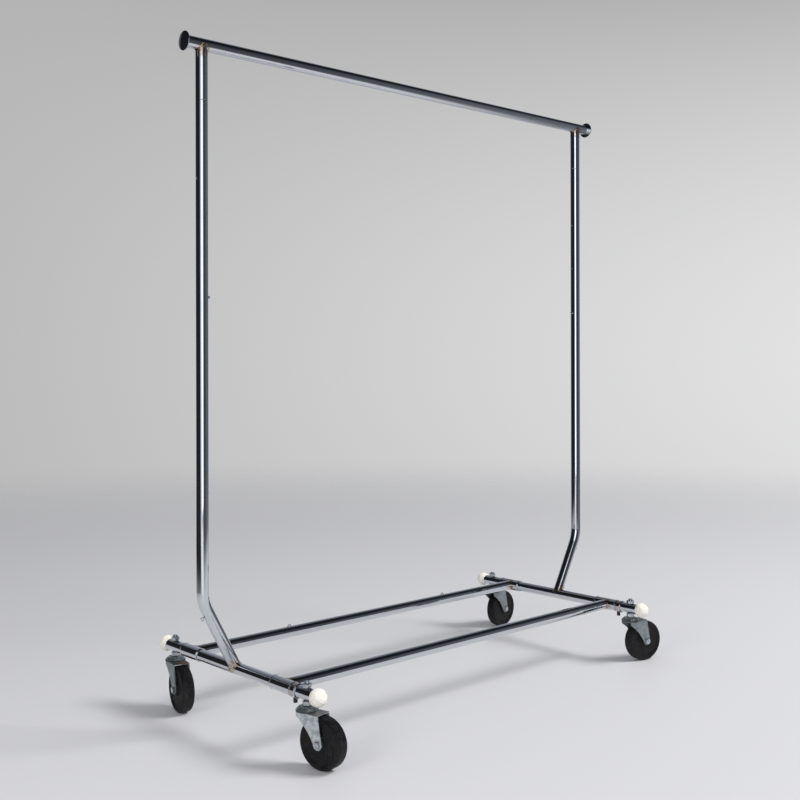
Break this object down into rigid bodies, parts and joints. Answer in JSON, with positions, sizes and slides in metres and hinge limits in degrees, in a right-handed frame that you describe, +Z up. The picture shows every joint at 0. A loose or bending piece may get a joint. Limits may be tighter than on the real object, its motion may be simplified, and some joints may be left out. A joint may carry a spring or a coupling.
{
  "type": "rolling clothes rack",
  "caption": "Chromed tube garment rack on swivel casters: a hanging rail on telescoping uprights whose bent legs stand on cross tubes joined by low base rails.",
  "frame": {"origin": "on the floor, midway between the two uprights and under the hanging rail", "axes": "+X along the hanging rail to the right, -Y the front where the sleeve locks are, +Z up"},
  "size_m": [1.3172, 0.6277, 1.45],
  "materials": {
    "chrome": "bright chrome plating on steel tube",
    "chrome_cap": "chrome-look domed end cap",
    "inner_steel": "plain drawn steel tube, zinc washed",
    "zinc": "dull blue-grey zinc plating on pressed sheet",
    "bright_zinc": "brighter zinc plating on turned and hexagonal pieces",
    "rubber": "hard black rubber, scuffed",
    "bumper": "cream vinyl, faintly mottled",
    "copper_plate": "coppery braze-washed steel",
    "black_plastic": "black plastic",
    "spring_steel": "blued spring steel",
    "bearing_steel": "ground bearing balls in grease"
  },
  "bodies": {
    "base": {"left_upright": "chrome", "right_upright": "chrome", "leg_eyes": "chrome", "left_cross_tube": "chrome", "right_cross_tube": "chrome", "front_base_rail": "chrome", "rear_base_rail": "chrome", "front_rail_end": "chrome", "rear_rail_end": "chrome", "rail_loops": "chrome", "lock_rings": "chrome", "front_left_sleeve": "chrome", "rear_left_sleeve": "chrome", "front_right_sleeve": "chrome", "rear_right_sleeve": "chrome", "rail_spigots": "inner_steel", "stem_nuts": "bright_zinc", "lock_springs": "spring_steel", "left_lock_collar": "copper_plate", "right_lock_collar": "copper_plate", "swivel_balls": "bearing_steel", "front_left_bumper": "bumper", "front_left_stem": "bright_zinc", "front_left_swivel_cup": "zinc", "rear_left_bumper": "bumper", "rear_left_stem": "bright_zinc", "rear_left_swivel_cup": "zinc", "front_right_bumper": "bumper", "front_right_stem": "bright_zinc", "front_right_swivel_cup": "zinc", "rear_right_bumper": "bumper", "rear_right_stem": "bright_zinc", "rear_right_swivel_cup": "zinc"},
    "top_frame": {"hang_rail": "chrome", "left_rail_stub": "chrome", "right_rail_stub": "chrome", "left_end_cap": "chrome_cap", "right_end_cap": "chrome_cap", "left_inner_tube": "inner_steel", "right_inner_tube": "inner_steel", "left_button_spring": "spring_steel", "right_button_spring": "spring_steel"},
    "left_button": {"left_snap_button": "bright_zinc"},
    "right_button": {"right_snap_button": "bright_zinc"},
    "left_lock": {"left_lock_pin": "bright_zinc", "left_lock_knob": "black_plastic"},
    "right_lock": {"right_lock_pin": "bright_zinc", "right_lock_knob": "black_plastic"},
    "front_left_caster": {"front_left_fork": "zinc", "front_left_axle": "bright_zinc"},
    "front_left_roller": {"front_left_wheel": "rubber"},
    "rear_left_caster": {"rear_left_fork": "zinc", "rear_left_axle": "bright_zinc"},
    "rear_left_roller": {"rear_left_wheel": "rubber"},
    "front_right_caster": {"front_right_fork": "zinc", "front_right_axle": "bright_zinc"},
    "front_right_roller": {"front_right_wheel": "rubber"},
    "rear_right_caster": {"rear_right_fork": "zinc", "rear_right_axle": "bright_zinc"},
    "rear_right_roller": {"rear_right_wheel": "rubber"}
  },
  "joints": [
    {"name": "height", "type": "slide", "parent": "base", "child": "top_frame", "axis": [0, 0, 1], "range_m": [0, 0.242], "deforming": ["left_snap_button", "right_snap_button"]},
    {"name": "left_button_press", "type": "slide", "parent": "top_frame", "child": "left_button", "axis": [-1, 0, 0], "range_m": [0, 0.006], "stiffness_N_per_m": 1500, "springref_m": -0.002, "deforming": ["left_button_spring"]},
    {"name": "right_button_press", "type": "slide", "parent": "top_frame", "child": "right_button", "axis": [1, 0, 0], "range_m": [0, 0.006], "stiffness_N_per_m": 1500, "springref_m": -0.002, "deforming": ["right_button_spring"]},
    {"name": "left_lock_pull", "type": "slide", "parent": "base", "child": "left_lock", "axis": [0, 0, -1], "range_m": [0, 0.0035], "stiffness_N_per_m": 1200, "springref_m": -0.002, "deforming": ["lock_springs"]},
    {"name": "right_lock_pull", "type": "slide", "parent": "base", "child": "right_lock", "axis": [0, 0, -1], "range_m": [0, 0.0035], "stiffness_N_per_m": 1200, "springref_m": -0.002},
    {"name": "front_left_swivel", "type": "hinge", "parent": "base", "child": "front_left_caster", "pos_m": [-0.528, -0.242, 0.106], "axis": [0, 0, 1], "continuous": true},
    {"name": "front_left_roll", "type": "hinge", "parent": "front_left_caster", "child": "front_left_roller", "pos_m": [-0.52018, -0.28225, 0.0508], "axis": [0.9816, 0.1908, 0], "continuous": true},
    {"name": "rear_left_swivel", "type": "hinge", "parent": "base", "child": "rear_left_caster", "pos_m": [-0.528, 0.242, 0.106], "axis": [0, 0, 1], "continuous": true},
    {"name": "rear_left_roll", "type": "hinge", "parent": "rear_left_caster", "child": "rear_left_roller", "pos_m": [-0.53652, 0.2019, 0.0508], "axis": [0.9781, -0.2079, 0], "continuous": true},
    {"name": "front_right_swivel", "type": "hinge", "parent": "base", "child": "front_right_caster", "pos_m": [0.528, -0.242, 0.106], "axis": [0, 0, 1], "continuous": true},
    {"name": "front_right_roll", "type": "hinge", "parent": "front_right_caster", "child": "front_right_roller", "pos_m": [0.56795, -0.25122, 0.0508], "axis": [0.225, 0.9744, 0], "continuous": true},
    {"name": "rear_right_swivel", "type": "hinge", "parent": "base", "child": "rear_right_caster", "pos_m": [0.528, 0.242, 0.106], "axis": [0, 0, 1], "continuous": true},
    {"name": "rear_right_roll", "type": "hinge", "parent": "rear_right_caster", "child": "rear_right_roller", "pos_m": [0.56881, 0.24593, 0.0508], "axis": [-0.0958, 0.9954, 0], "continuous": true}
  ]
}
